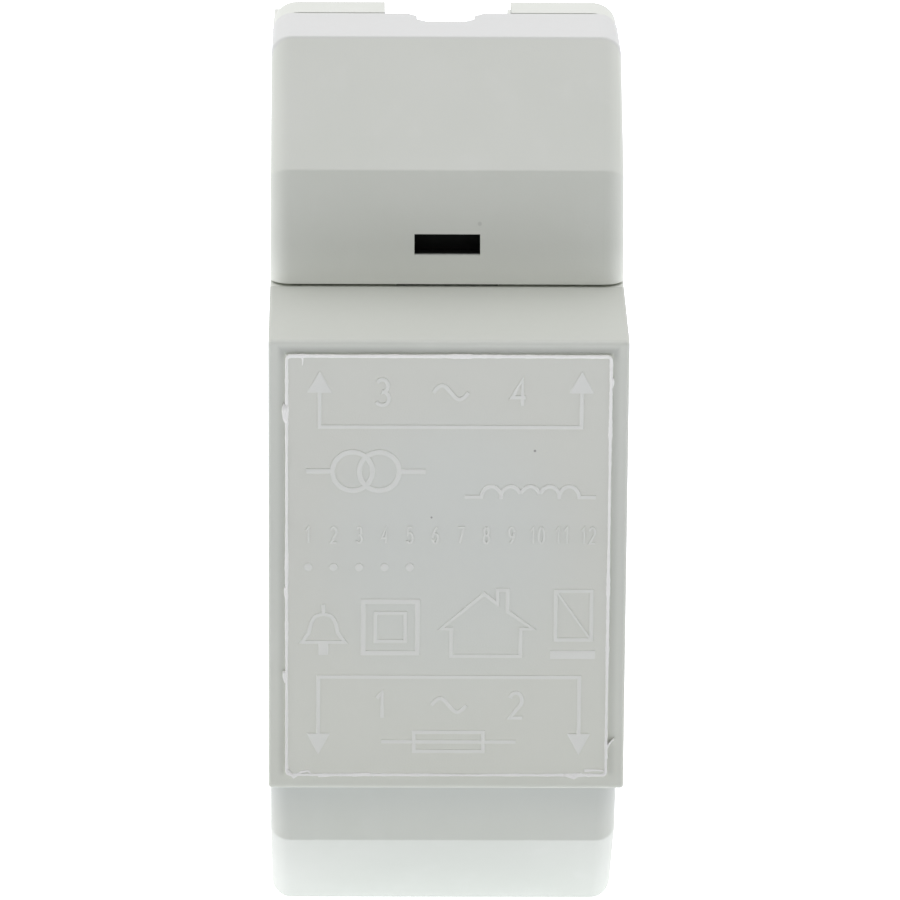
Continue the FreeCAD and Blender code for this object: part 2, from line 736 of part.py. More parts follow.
def make_cage(label, hand, end):
    body = new_body(label)
    inset = "tower_wall + cage_gap"
    form = new_sketch(body, "XZ_Plane", "cage_depth")
    rectangle(form, facing("tower_inner + " + inset, hand), facing("tower_outer - (%s)" % inset, hand),
              facing("block_low + " + inset, end), facing("block_high - (%s)" % inset, end))
    pad(body, form, "block_depth - cage_depth - cage_recess")
    window = new_sketch(body, "XY_Plane", facing("block_high + 1", end))
    rectangle(window, facing("tower_inner + tower_wall + cage_sheet", hand),
              facing("tower_outer - tower_wall - cage_sheet", hand),
              "-(block_depth - cage_recess - cage_front)", "-(cage_depth + cage_sheet)")
    pocket(body, window, "block_high - block_low + 2", backward=end < 0)
    tap = new_sketch(body, "XZ_Plane", "block_depth")
    circle(tap, facing("tower_middle", hand), facing("block_mid", end), "shank_radius")
    pocket(body, tap, "cage_recess + cage_front + cage_sheet / 2")
    return body


def make_terminal_screws():
    body = new_body("terminal_screws")
    seat = "block_depth - cage_recess"
    places = [(facing("tower_middle", hand), facing("block_mid", end))
              for hand in (1, -1) for end in (1, -1)]
    shanks = new_sketch(body, "XZ_Plane", "wire_depth + shank_tip")
    heads = new_sketch(body, "XZ_Plane", seat)
    for across, up in places:
        circle(shanks, across, up, "shank_radius")
        circle(heads, across, up, "head_radius")
    pad(body, shanks, seat + " - wire_depth - shank_tip + head_height / 2")
    pad(body, heads, "head_height")

    # Cross recess in each head
    cross = new_sketch(body, "XZ_Plane", seat + " + head_height")
    slim, far = "drive_slot / 2", "drive_reach"
    quarter = [(slim, far), (slim, slim), (far, slim)]
    lower = [(across, "-" + up) for across, up in reversed(quarter)]
    star = quarter + lower
    star += [("-" + across, up) for across, up in reversed(star)]
    for across, up in places:
        outline(cross, [("%s + (%s)" % (across, x), "%s + (%s)" % (up, z)) for x, z in star])
    pocket(body, cross, "drive_depth")
    return body


# Insulated leads: each runs straight from its pin, through the shelf, to its cage

def make_lead(label, hand, end):
    body = new_body(label)
    wire = new_sketch(body, "XY_Plane", facing("window_half", end))
    circle(wire, facing("lead_across", hand), "-wire_depth", "lead_radius")
    pad(body, wire, "lead_end - window_half", backward=end < 0)
    return body


make_rear_base()
make_front_shell()
make_terminal_cover("upper_terminal_cover", 1)
make_terminal_cover("lower_terminal_cover", -1)
make_rail_latch()
make_latch_spring()
make_core()
make_core_clamp()
make_coil()
make_thermal_fuse()
for end, name in ((1, "upper"), (-1, "lower")):
    make_terminal_block(name + "_terminal_block", end)
    for hand, hand_name in ((-1, "left"), (1, "right")):
        make_cage("%s_%s_clamp" % (name, hand_name), hand, end)
make_terminal_screws()
for coil, end in (("secondary", 1), ("primary", -1)):
    for hand, hand_name in ((-1, "left"), (1, "right")):
        make_lead("%s_lead_%s" % (coil, hand_name), hand, end)
doc.recompute()

# Every object is checked, then each piece is written under its own name

for item in doc.Objects:
    if "Invalid" in item.State or "Error" in item.State:
        raise ValueError("%s is not in order: %s" % (item.Label, item.State))
for piece in [item for item in doc.Objects if item.TypeId == "PartDesign::Body"]:
    if piece.Shape.isNull() or not piece.Shape.isValid() or not piece.Shape.Solids:
        raise ValueError("%s has no sound shape" % piece.Label)
    piece.Shape.exportStep("parts/%s.step" % piece.Label)
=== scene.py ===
# %% [markdown]
# # A bell transformer for a mounting rail
#
# The object is a two-module bell transformer in light grey plastic. A middle block, the nose, carries a raised plate
# with moulded marks, and a faceted cover snaps on above and below it. The rigid forms come finished from the CAD
# frame, so this lesson adds what the CAD leaves out: the camera, the light, the finishes, and the low moulded marks.
#
# The first cell loads the frame. Its box is kept, because the dressed object must not outgrow it.

import math

import bpy
import numpy as np
from mathutils import Matrix, Vector


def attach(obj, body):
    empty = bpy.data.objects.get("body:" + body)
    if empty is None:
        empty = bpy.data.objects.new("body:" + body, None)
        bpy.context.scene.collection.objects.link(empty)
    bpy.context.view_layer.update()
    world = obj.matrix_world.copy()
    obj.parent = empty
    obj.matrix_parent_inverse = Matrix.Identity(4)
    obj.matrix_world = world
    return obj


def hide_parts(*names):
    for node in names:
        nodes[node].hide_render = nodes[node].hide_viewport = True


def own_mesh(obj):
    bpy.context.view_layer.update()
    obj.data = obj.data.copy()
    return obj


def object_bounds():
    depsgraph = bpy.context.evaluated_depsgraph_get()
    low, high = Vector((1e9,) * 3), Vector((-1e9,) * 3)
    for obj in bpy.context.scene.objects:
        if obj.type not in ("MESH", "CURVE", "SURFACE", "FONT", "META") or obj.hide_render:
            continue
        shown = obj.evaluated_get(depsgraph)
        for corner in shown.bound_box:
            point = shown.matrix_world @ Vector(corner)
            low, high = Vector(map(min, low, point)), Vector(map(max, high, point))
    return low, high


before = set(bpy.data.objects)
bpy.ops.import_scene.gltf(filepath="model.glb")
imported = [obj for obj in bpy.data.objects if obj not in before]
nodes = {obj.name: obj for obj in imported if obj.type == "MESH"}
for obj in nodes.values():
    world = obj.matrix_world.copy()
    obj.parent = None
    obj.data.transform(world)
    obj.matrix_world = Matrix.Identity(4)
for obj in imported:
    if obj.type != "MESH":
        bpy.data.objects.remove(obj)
cad_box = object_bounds()
MM = 0.001
print("pieces in the frame:", len(nodes))

# %% [markdown]
# ## The camera
#
# The picture is taken with a long lens from about 17 degrees above, a shade to the left, and turned by less than half
# a degree. Blender could aim a camera with a constraint, but a plain matrix is exact: three unit columns say which way
# the picture's right, its top and the back of the camera point.

# %% Camera
TURN, HEIGHT, ROLL = math.radians(0.88), math.radians(16.94), math.radians(0.41)
SENSOR_WIDTH, LENS_LENGTH = 36.0, 278.2
CAMERA_PLACE = Vector((-0.009765, -0.701038, 0.208747))


def camera_matrix(turn, height, roll, place):
    """Columns right, up and back from the two viewing angles, with right and up turned together by the roll.

    Forward is (sin turn cos height, cos turn cos height, -sin height), and up is right x forward."""
    forward = Vector((math.sin(turn) * math.cos(height), math.cos(turn) * math.cos(height), -math.sin(height)))
    right = Vector((math.cos(turn), -math.sin(turn), 0.0))
    up = right.cross(forward)
    across = right * math.cos(roll) + up * math.sin(roll)
    above = up * math.cos(roll) - right * math.sin(roll)
    turned = Matrix((across, above, -forward)).transposed().to_4x4()
    return Matrix.Translation(place) @ turned


lens = bpy.data.cameras.new("camera")
lens.sensor_width, lens.lens = SENSOR_WIDTH, LENS_LENGTH
lens.clip_start, lens.clip_end = 0.01, 20.0
camera = bpy.data.objects.new("camera", lens)
camera.matrix_world = camera_matrix(TURN, HEIGHT, ROLL, CAMERA_PLACE)
bpy.context.scene.collection.objects.link(camera)
bpy.context.scene.camera = camera
print("camera stands", round(camera.location.length, 3), "m from the rail")

# %% [markdown]
# ## Writing materials as sums
#
# A material is a graph of nodes, and long graphs are hard to read. Two small classes turn them into ordinary sums.
# `Value` wraps the output of a node, and adding, multiplying or comparing two of them adds Math nodes. `Graph.node`
# makes any other node: its settings come first, then the values or links of its sockets.

# %% Node helpers


class Value:
    """A number that comes out of a node. Arithmetic on it adds Math nodes to the same graph."""

    def __init__(self, graph, socket):
        self.graph, self.socket = graph, socket

    def maths(self, operation, first, second=0.0):
        return self.graph.node("ShaderNodeMath", {"operation": operation}, {0: first, 1: second})

    def __add__(self, other):
        return self.maths("ADD", self, other)

    def __sub__(self, other):
        return self.maths("SUBTRACT", self, other)

    def __mul__(self, other):
        return self.maths("MULTIPLY", self, other)

    def __truediv__(self, other):
        return self.maths("DIVIDE", self, other)

    def __pow__(self, other):
        return self.maths("POWER", self, other)

    def __lt__(self, other):
        return self.maths("LESS_THAN", self, other)

    def __gt__(self, other):
        return self.maths("GREATER_THAN", self, other)

    def __rsub__(self, other):
        return self.maths("SUBTRACT", other, self)

    def __abs__(self):
        return self.maths("ABSOLUTE", self)

    __radd__, __rmul__ = __add__, __mul__

    def sine(self):
        return self.maths("SINE", self)

    def largest(self, other):
        return self.maths("MAXIMUM", self, other)


class Graph:
    """The node tree of a material or of the world."""

    def __init__(self, owner):
        owner.use_nodes = True
        self.owner, self.tree = owner, owner.node_tree
        self.tree.nodes.clear()

    def node(self, kind, settings, sockets, output=0):
        """Adds one node: its settings first, then the values or links of its sockets. Returns one output."""
        made = self.tree.nodes.new(kind)
        for name, setting in settings.items():
            setattr(made, name, setting)
        for name, given in sockets.items():
            if isinstance(given, Value):
                self.tree.links.new(given.socket, made.inputs[name])
            else:
                made.inputs[name].default_value = given
        return Value(self, made.outputs[output]) if len(made.outputs) else made

    def place(self):
        """Object coordinates in millimetres, as three numbers."""
        seat = self.node("ShaderNodeTexCoord", {}, {}, "Object")
        split = [self.node("ShaderNodeSeparateXYZ", {}, {0: seat}, axis) for axis in (0, 1, 2)]
        return [one * 1000.0 for one in split]

    def noise(self, scale, detail=2.0, stretch=(1.0, 1.0, 1.0)):
        """Soft noise between 0 and 1. The scale counts waves per metre, the stretch multiplies it along each axis."""
        seat = self.node("ShaderNodeTexCoord", {}, {}, "Object")
        seat = self.node("ShaderNodeMapping", {}, {"Vector": seat, "Scale": stretch})
        return self.node("ShaderNodeTexNoise", {}, {"Vector": seat, "Scale": scale, "Detail": detail})

    def ramp(self, value, low, high):
        """Smooth step: 0 below low, 1 above high, and an S-shaped rise between them."""
        return self.node("ShaderNodeMapRange", {"interpolation_type": "SMOOTHSTEP"},
                         {"Value": value, "From Min": low, "From Max": high})

    def blend(self, mask, first, second):
        """Colour mix: the first colour where the mask is 0 and the second where it is 1."""
        first, second = (c if isinstance(c, Value) else (*c, 1.0) for c in (first, second))
        return self.node("ShaderNodeMix", {"data_type": "RGBA"}, {0: mask, 6: first, 7: second}, 2)

    def bump(self, height, depth, strength=1.0):
        """Normal that a height between 0 and 1 gives, where 1 stands for the depth in metres."""
        return self.node("ShaderNodeBump", {}, {"Height": height, "Distance": depth, "Strength": strength})


def finish(name, build, **constants):
    """Material with a Principled shader. build(graph) returns its varying sockets, the constants are set directly."""
    graph = Graph(bpy.data.materials.new(name))
    shader = graph.node("ShaderNodeBsdfPrincipled", {}, {**constants, **build(graph)})
    graph.node("ShaderNodeOutputMaterial", {}, {"Surface": shader})
    return graph.owner


# %% [markdown]
# ## Housing plastic
#
# The housing is light grey moulded plastic, matt from a spark-eroded mould. Up close its colour isn't even: flow lines
# fade through it, and the plate on the nose is a little cooler in its middle. Painted light makes the plate paler
# towards its foot, where the table lights it, and painted shade darkens the nose just outside the plate's edge. Shelf,
# lip and covers differ by a shade each, in painted light and painted shade, and behind the release slot the walls are
# painted almost black, as painted shade, as the photo shows them. A painted image could hold all this, but noise and
# distances in Object coordinates stay sharp at any zoom.
#
# The sizes follow the CAD model, in millimetres: the plate's edges and front, a plane just behind the front of the
# nose, the lip of the upper cover, the span of that cover's top, and the height of the slot. `FACET_LEAN` is how far
# the facet above the lip leans back for each millimetre up.

# %% Housing plastic
PLATE_HALF, PLATE_TOP, PLATE_LOW, PLATE_FRONT = 15.8, 21.6, -21.45, -55.4
NOSE_FRONT, LIP_FRONT, TOP_FRONT, TOP_REAR = -54.6, -39.6, -24.5, -14.5
LIP_HEIGHT, SLOT_HEIGHT, FACET_LEAN = 24.37, 28.3, 0.2876
GREY = (0.625, 0.650, 0.580)
# Of these tones, cloud, streak, plate, middle and speck are the plastic's own. The foot tone and the lip tone are
# painted light, and all the others are painted shade.
TONES = {"cloud": (0.647, 0.668, 0.602), "streak": (0.688, 0.706, 0.648), "plate": (0.655, 0.670, 0.600),
         "middle": (0.650, 0.684, 0.636), "foot": (0.778, 0.804, 0.702), "line": (0.330, 0.345, 0.315),
         "shelf": (0.503, 0.524, 0.462), "top": (0.592, 0.602, 0.578), "under": (0.528, 0.556, 0.516),
         "lip_light": (0.775, 0.800, 0.720), "speck": (0.18, 0.18, 0.16), "shade": (0.006, 0.006, 0.005)}
# Each speck: its place across and up, its radius, and how dark it is
SPECKS = ((8.4, 12.0, 0.16, 0.7), (-1.6, 5.2, 0.13, 0.7), (3.2, 30.1, 0.26, 0.22))


def table_light_mask(graph, z):
    """Mask of the painted table light: 0 from a little above the plate's middle, rising to 1 at the foot of the nose.
    """
    return 1.0 - graph.ramp(z, -24.0, 6.0)


def housing_build(graph):
    """Grey varied by slow noise, then one tone after the other, each blended in by a mask of Object coordinates.
    Several tones are painted light and painted shade.
    """
    x, y, z = graph.place()
    cloud = graph.noise(55.0, 3.0)
    streak = graph.noise(260.0, 2.0, (1.0, 1.0, 0.18))
    colour = graph.blend(graph.ramp(cloud, 0.3, 0.7), GREY, TONES["cloud"])
    colour = graph.blend(graph.ramp(streak, 0.55, 0.8) * 0.25, colour, TONES["streak"])

    # On the front of the nose, the distance outside the plate tells the plate from the painted shade round it
    on_front = y < NOSE_FRONT
    across = abs(x) - PLATE_HALF
    along = (z - PLATE_TOP).largest(PLATE_LOW - z)
    outside = across.largest(along)
    on_plate = on_front * (outside < 0.0)
    middle = 1.0 - graph.ramp(((x / 15.0) ** 2.0 + ((z - 1.0) / 18.0) ** 2.0), 0.1, 1.0)
    colour = graph.blend(on_plate, colour, TONES["plate"])
    colour = graph.blend(middle * on_plate * 0.55, colour, TONES["middle"])
    # Painted light: the front of the nose is paler towards its foot, where the table below lights it
    colour = graph.blend(table_light_mask(graph, z) * on_front * 0.6, colour, TONES["foot"])
    # Painted shade: a thin dark band just outside the plate's raised edge, strongest above its top edge
    edge = graph.ramp(outside, 0.05, 0.25) * (1.0 - graph.ramp(outside, 0.35, 0.95)) * on_front
    darkness = 0.20 * graph.ramp(z, -21.9, -21.0) + 0.26 * graph.ramp(z, 20.5, 22.0)
    colour = graph.blend(edge * darkness, colour, TONES["line"])

    # Painted shade: the shelf below the upper cover is darker, where the cover shades it, and so are the upper cover's
    # top, against the light from overhead, and the lower cover close to the nose, in the nose's shade. Painted light
    # makes the upper cover paler along its lip
    on_shelf = (z < LIP_HEIGHT - 0.12) * (y < LIP_FRONT + 0.1)
    shelf = graph.ramp(z, 22.8, 23.0) * graph.ramp(y, NOSE_FRONT - 0.4, NOSE_FRONT) * on_shelf
    colour = graph.blend(shelf, colour, TONES["shelf"])
    # Painted shade: the upper cover's top is a shade darker and greyer, against the light from overhead
    top_shade_zone = graph.ramp(y, TOP_FRONT - 0.4, TOP_FRONT + 0.2) * (y < TOP_REAR + 0.1) * (z > 43.0)
    colour = graph.blend(top_shade_zone * 0.8, colour, TONES["top"])
    on_covers = (y < -32.0) * (abs(z) > LIP_HEIGHT - 0.07)
    # Painted shade: the lower cover is darker close to the nose, where the nose shades it
    under = graph.ramp(z, -34.5, -27.5) * (z < 0.0)
    colour = graph.blend(under * on_covers * 0.8, colour, TONES["under"])
    # Painted light: the upper cover is paler just above its lip
    lip_light = (1.0 - graph.ramp(z, 24.4, 28.5)) * (z > 0.0)
    colour = graph.blend(lip_light * on_covers * 0.7, colour, TONES["lip_light"])

    # Dark specks moulded into the plate, and a faint one by the release slot
    for at_x, at_z, radius, darkness in SPECKS:
        off = ((x - at_x) ** 2.0 + (z - at_z) ** 2.0) ** 0.5
        mask = (1.0 - graph.ramp(off, radius * 0.5, radius)) * (y < -36.0) * darkness
        colour = graph.blend(mask, colour, TONES["speck"])

    # Painted shade behind the release slot, almost black: how far a point lies behind the leaning facet of the upper
    # cover
    behind = y - LIP_FRONT - (z - LIP_HEIGHT) * FACET_LEAN
    slot_shade_zone = (abs(x) < 5.0) * (abs(z - SLOT_HEIGHT) < 4.8) * (y < TOP_REAR - 0.1)
    colour = graph.blend(graph.ramp(behind, 0.15, 0.9) * slot_shade_zone, colour, TONES["shade"])

    grain = graph.noise(5200.0, 2.0)
    wave = graph.noise(120.0, 1.0)
    height = grain * 0.35 + wave * 0.65
    return {"Base Color": colour, "Roughness": 0.46 + 0.12 * graph.noise(900.0, 2.0),
            "Normal": graph.bump(height, 0.00006, 0.55)}


housing = finish("housing_plastic", housing_build, **{"IOR": 1.5, "Specular IOR Level": 0.42})
print("housing plastic has", len(housing.node_tree.nodes), "nodes")

# %% [markdown]
# ## Other plastics
#
# The latch, the coil former and the terminal carriers are engineering plastics. They are smoother than the housing,
# with sink marks and a little sheen. The fuse and the insulation of the leads are close to them. One recipe serves
# all five, each with its own pair of colours: a cloud mixes the two, and gives the surface its soft waves.

# %% Other plastics


def plastic_build(pale, deep, rough):
    """Recipe for a smooth plastic from two colours and a roughness."""
    def build(graph):
        """Two close colours mixed by a cloud, with fine grain and the same cloud as the bump."""
        cloud = graph.noise(180.0, 3.0)
        grain = graph.noise(3500.0, 2.0)
        return {"Base Color": graph.blend(graph.ramp(cloud, 0.3, 0.7), pale, deep),
                "Roughness": rough + 0.15 * graph.noise(700.0, 2.0),
                "Normal": graph.bump(grain * 0.4 + cloud * 0.6, 0.00005, 0.5)}
    return build


latch_plastic = finish("latch_plastic", plastic_build((0.50, 0.51, 0.49), (0.45, 0.46, 0.44), 0.35))
former_plastic = finish("former_plastic", plastic_build((0.80, 0.77, 0.66), (0.74, 0.70, 0.58), 0.30))
carrier_plastic = finish("carrier_plastic", plastic_build((0.30, 0.31, 0.31), (0.26, 0.27, 0.27), 0.35))
fuse_body = finish("fuse_body", plastic_build((0.55, 0.53, 0.46), (0.46, 0.44, 0.38), 0.30))
lead_insulation = finish("lead_insulation", plastic_build((0.035, 0.10, 0.30), (0.028, 0.085, 0.26), 0.30))

# %% [markdown]
# ## Metals
#
# Plated steel shows brushed lines and dull blotches, and spring steel is darker. The laminated core is a stack of
# half-millimetre sheets, so its end faces are striped: a sine of the place along the stack draws the gaps between
# the sheets in colour and in height at once.

# %% Metals
SHEET_PITCH = 0.5


def metal_build(pale, deep, rough, stretch=(1.0, 1.0, 0.08)):
    """Recipe for a metal from two tones and a roughness. A small stretch draws the scratches out along that axis."""
    def build(graph):
        """Two metal tones mixed by long scratches, which also vary the roughness and the height."""
        scratch = graph.noise(2600.0, 3.0, stretch)
        blotch = graph.noise(260.0, 3.0)
        return {"Base Color": graph.blend(graph.ramp(blotch * 0.6 + scratch * 0.4, 0.35, 0.65), pale, deep),
                "Roughness": rough + 0.18 * blotch, "Normal": graph.bump(scratch, 0.00002, 0.5)}
    return build


def core_build(graph):
    """Sheets along X: |sin(pi x / pitch)| is near zero only in narrow stripes, which become the dark gaps."""
    x, y, z = graph.place()
    sheet = abs((x * (math.pi / SHEET_PITCH)).sine())
    gap = 1.0 - graph.ramp(sheet, 0.05, 0.45)
    rust = graph.ramp(graph.noise(300.0, 4.0), 0.55, 0.75)
    colour = graph.blend(rust * 0.5, (0.34, 0.33, 0.32), (0.25, 0.15, 0.09))
    return {"Base Color": graph.blend(gap * 0.8, colour, (0.04, 0.035, 0.03)), "Roughness": 0.42 + 0.2 * rust,
            "Metallic": 1.0 - 0.7 * rust, "Normal": graph.bump(1.0 - gap, 0.00006, 0.8)}


plated_steel = finish("plated_steel", metal_build((0.72, 0.71, 0.68), (0.60, 0.60, 0.58), 0.26), Metallic=1.0)
spring_steel = finish("spring_steel", metal_build((0.55, 0.54, 0.52), (0.42, 0.41, 0.40), 0.25), Metallic=1.0)
screw_steel = finish("screw_steel", metal_build((0.70, 0.70, 0.68), (0.56, 0.56, 0.55), 0.28, (1.0, 1.0, 1.0)),
                     Metallic=1.0)
tinned_metal = finish("tinned_metal", metal_build((0.75, 0.74, 0.71), (0.62, 0.61, 0.59), 0.32), Metallic=1.0)
core_steel = finish("core_steel", core_build)

# %% [markdown]
# ## Windings and wrap
#
# A winding shows its turns as fine ribs round the coil, with painted shade in the grooves between them. They lie level,
# so a sine of the height draws them. The wrap over them is glossy yellow polyester tape, which creases and lets the
# turns below show faintly.

# %% Windings and wrap
TURN_PITCH = 0.4


def winding_build(graph):
    """Turns one pitch apart up the coil: |sin(pi z / pitch)| gives each its round back, with painted shade in the
    grooves between.
    """
    x, y, z = graph.place()
    turn = abs((z * (math.pi / TURN_PITCH)).sine())
    colour = graph.blend(graph.ramp(turn, 0.1, 0.7), (0.25, 0.07, 0.03), (0.72, 0.30, 0.12))
    return {"Base Color": colour, "Roughness": 0.25 + 0.15 * graph.noise(800.0, 2.0),
            "Normal": graph.bump(turn, 0.00012, 0.9)}


def tape_build(graph):
    """Yellow film over faint turns: low ribs and a slow crease."""
    x, y, z = graph.place()
    turn = abs((z * (math.pi / TURN_PITCH)).sine())
    crease = graph.noise(150.0, 3.0, (1.0, 1.0, 3.0))
    colour = graph.blend(graph.ramp(crease, 0.35, 0.7), (0.80, 0.56, 0.10), (0.70, 0.44, 0.06))
    return {"Base Color": colour, "Roughness": 0.2 + 0.12 * crease,
            "Normal": graph.bump(turn * 0.35 + crease * 0.65, 0.00010, 0.6)}


copper_wire = finish("copper_wire", winding_build, **{"Metallic": 0.75, "Coat Weight": 0.6})
coil_tape = finish("coil_tape", tape_build, **{"Coat Weight": 0.3})

# %% [markdown]
# ## Dressing the CAD pieces
#
# Each CAD piece keeps its shape and only changes its material. The table lists the pieces under each finish. The
# latch spring is dressed here too, though a helix built further on stands for it and the CAD spring is hidden.

# %% Dress the pieces
DRESS = {
    housing: ("rear_base", "front_shell", "upper_terminal_cover", "lower_terminal_cover"),
    latch_plastic: ("rail_latch",),
    spring_steel: ("latch_spring",),
    core_steel: ("core_e_laminations", "core_i_laminations"),
    plated_steel: ("core_clamp", "upper_left_clamp", "upper_right_clamp", "lower_left_clamp", "lower_right_clamp"),
    former_plastic: ("coil_bobbin",),
    copper_wire: ("primary_winding", "secondary_winding"),
    coil_tape: ("primary_tape", "secondary_tape"),
    tinned_metal: ("bobbin_pins",),
    fuse_body: ("thermal_fuse",),
    carrier_plastic: ("upper_terminal_block", "lower_terminal_block"),
    screw_steel: ("terminal_screws",),
    lead_insulation: ("primary_lead_left", "primary_lead_right", "secondary_lead_left", "secondary_lead_right"),
}
for material, names in DRESS.items():
    for name in names:
        for material_slot in nodes[name].material_slots:
            material_slot.material = material
print("dressed", sum(len(names) for names in DRESS.values()), "of", len(nodes), "pieces")

# %% [markdown]
# ## Moulded marks
#
# The plate carries raised line marks: bracket arrows that point at the terminals, and signs between them. They are
# strokes with a rounded back, so one function sweeps a low arch along any flat line. Its width may change on the way,
# which also draws solid arrowheads. The words of the real part are left off. Plain terminal numbers, a wave, a bell
# and a house outline stand in their places.

# %% Stroke sweep
ARCH = np.linspace(0.0, np.pi, 7)


def stroke(path, width, height, root=0.08, closed=False):
    """Sweeps a low arch along a flat path of (x, z) points in millimetres on the plate.

    At each point the arch stands square to the mean direction of the two runs that meet there, and is widened by
    one over the cosine of half the bend, so corners stay full width. Across it, the offset is half the width times
    the cosine of an angle that runs from 0 to 180 degrees, and the rise is the height times the sine's 0.3th power.
    Two more points below the surface close the section."""
    path = np.asarray(path, float)
    count = len(path)
    ahead = np.roll(path, -1, axis=0) - path
    behind = path - np.roll(path, 1, axis=0)
    if not closed:
        ahead[-1], behind[0] = behind[-1], ahead[0]
    ahead /= np.linalg.norm(ahead, axis=1, keepdims=True)
    behind /= np.linalg.norm(behind, axis=1, keepdims=True)
    mean = ahead + behind
    mean /= np.linalg.norm(mean, axis=1, keepdims=True)
    widen = 1.0 / np.clip((mean * ahead).sum(axis=1), 0.5, 1.0)
    side = np.stack([-mean[:, 1], mean[:, 0]], axis=1) * widen[:, None]
    width = np.broadcast_to(np.asarray(width, float), count)
    height = np.broadcast_to(np.asarray(height, float), count)
    offset = np.concatenate([np.cos(ARCH), [-1.0, 1.0]])
    rise = np.concatenate([np.maximum(np.sin(ARCH), 0.0) ** 0.3, [0.0, 0.0]])
    sunk = np.concatenate([np.zeros(len(ARCH)), [1.0, 1.0]])
    flat = path[:, None, :] + side[:, None, :] * (offset[None, :, None] * width[:, None, None] / 2)
    depth = PLATE_FRONT - rise[None, :] * height[:, None] + sunk[None, :] * root
    vertices = np.stack([flat[..., 0], depth, flat[..., 1]], axis=-1).reshape(-1, 3) * MM
    ring = len(offset)
    rows = np.arange(count if closed else count - 1)
    columns = np.arange(ring)
    a = rows[:, None] * ring + columns[None, :]
    b = rows[:, None] * ring + (columns[None, :] + 1) % ring
    c = (rows[:, None] + 1) % count * ring + (columns[None, :] + 1) % ring
    d = (rows[:, None] + 1) % count * ring + columns[None, :]
    quads = np.stack([a, b, c, d], axis=-1).reshape(-1, 4).tolist()
    if not closed:
        quads += [list(range(ring))[::-1], list(range((count - 1) * ring, count * ring))]
    return vertices, quads


def gather(name, parts, material, smooth):
    """One mesh object from several parts. Each part's faces are shifted by the vertices before it."""
    vertices, faces, start = [], [], 0
    for points, polygons in parts:
        vertices.append(points)
        faces += [[corner + start for corner in polygon] for polygon in polygons]
        start += len(points)
    mesh = bpy.data.meshes.new(name)
    mesh.from_pydata(np.concatenate(vertices).tolist(), [], faces)
    mesh.polygons.foreach_set("use_smooth", np.full(len(faces), smooth))
    mesh.materials.append(material)
    mesh.update()
    made = bpy.data.objects.new(name, mesh)
    bpy.context.scene.collection.objects.link(made)
    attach(made, "housing")
    print(name, "has", len(faces), "faces")
    return made


# %% [markdown]
# Curved signs need arcs. An arc is the cosine and sine of an angle that runs between two limits, each with its own
# radius, and a bow is the weighted mean of three points.

# %% Lines for signs


def arc(middle, radii, first, last, count=17):
    """Points at middle + radii times (cosine, sine) of angles from first to last, in degrees."""
    angle = np.radians(np.linspace(first, last, count))
    return np.stack([middle[0] + radii[0] * np.cos(angle), middle[1] + radii[1] * np.sin(angle)], axis=1)


def bow(start, pull, end, count=11):
    """Points (1-t)^2 start + 2t(1-t) pull + t^2 end, a curve that leans towards the middle point."""
    t = np.linspace(0.0, 1.0, count)[:, None]
    return (1 - t) ** 2 * np.array(start) + 2 * t * (1 - t) * np.array(pull) + t ** 2 * np.array(end)


def chain(*runs):
    """One line from several, joined end to end."""
    return np.concatenate([np.asarray(run, float) for run in runs])


# Lines of each digit in a box 1 wide and 1.6 tall
DIGITS = {
    "0": [chain(arc((0.5, 0.8), (0.45, 0.8), 90, 440, 22))],
    "1": [[(0.15, 1.25), (0.55, 1.6), (0.55, 0.0)]],
    "2": [chain(arc((0.5, 1.14), (0.46, 0.46), 165, -35, 13), [(0.05, 0.0), (1.0, 0.0)])],
    "3": [chain(arc((0.48, 1.2), (0.42, 0.4), 150, -80, 13), arc((0.48, 0.42), (0.5, 0.42), 80, -150, 14))],
    "4": [[(0.75, 0.0), (0.75, 1.6), (0.0, 0.5), (1.0, 0.5)]],
    "5": [chain([(0.9, 1.6), (0.2, 1.6), (0.12, 0.85)], arc((0.47, 0.52), (0.5, 0.52), 120, -150, 15))],
    "6": [bow((0.8, 1.6), (0.1, 1.3), (0.04, 0.5)), arc((0.5, 0.48), (0.46, 0.48), 180, -170, 22)],
    "7": [[(0.0, 1.6), (1.0, 1.6), (0.35, 0.0)]],
    "8": [arc((0.5, 1.2), (0.38, 0.4), 90, -260, 20), arc((0.5, 0.42), (0.48, 0.42), 90, -260, 22)],
    "9": [bow((0.2, 0.0), (0.9, 0.3), (0.96, 1.1)), arc((0.5, 1.12), (0.46, 0.48), 0, 350, 22)],
}


def number(text, at_x, at_z, tall, width, height, slim=0.8):
    """Strokes of a number whose middle stands over at_x, with its foot at at_z. Slim narrows the digits."""
    scale = tall / 1.6
    step = 1.5 * slim * scale
    left = at_x - (step * (len(text) - 1) + slim * scale) / 2
    return [stroke(np.asarray(line, float) * (slim * scale, scale) + (left + place * step, at_z), width, height)
            for place, digit in enumerate(text) for line in DIGITS[digit]]


def dot(x, z, radius, height):
    """Filled disc as a short stroke: its width at t along the radius is twice the root of 1 - t^2."""
    t = np.linspace(-0.98, 0.98, 9)
    return stroke(np.stack([x + radius * t, np.full_like(t, z)], axis=1), 2 * radius * np.sqrt(1 - t ** 2), height)


# %% [markdown]
# Three line widths and one rise do for nearly all signs. Places and sizes are in millimetres, across and up.

# %% Brackets and signs
marks = []
FINE, PLAIN, BOLD, RISE = 0.24, 0.40, 0.52, 0.09


def bracket(left, right, tip, bar, wide):
    """A bar whose two ends turn towards the terminals and end in solid arrowheads, a taper from wide to a point."""
    head_length = 2.15
    head = tip - head_length if tip > bar else tip + head_length
    line = [(left, head), (left, bar), (right, bar), (right, head)]
    heads = [stroke([(x, head), (x, tip)], [wide, 0.08], RISE) for x in (left, right)]
    return [stroke(line, PLAIN, RISE)] + heads


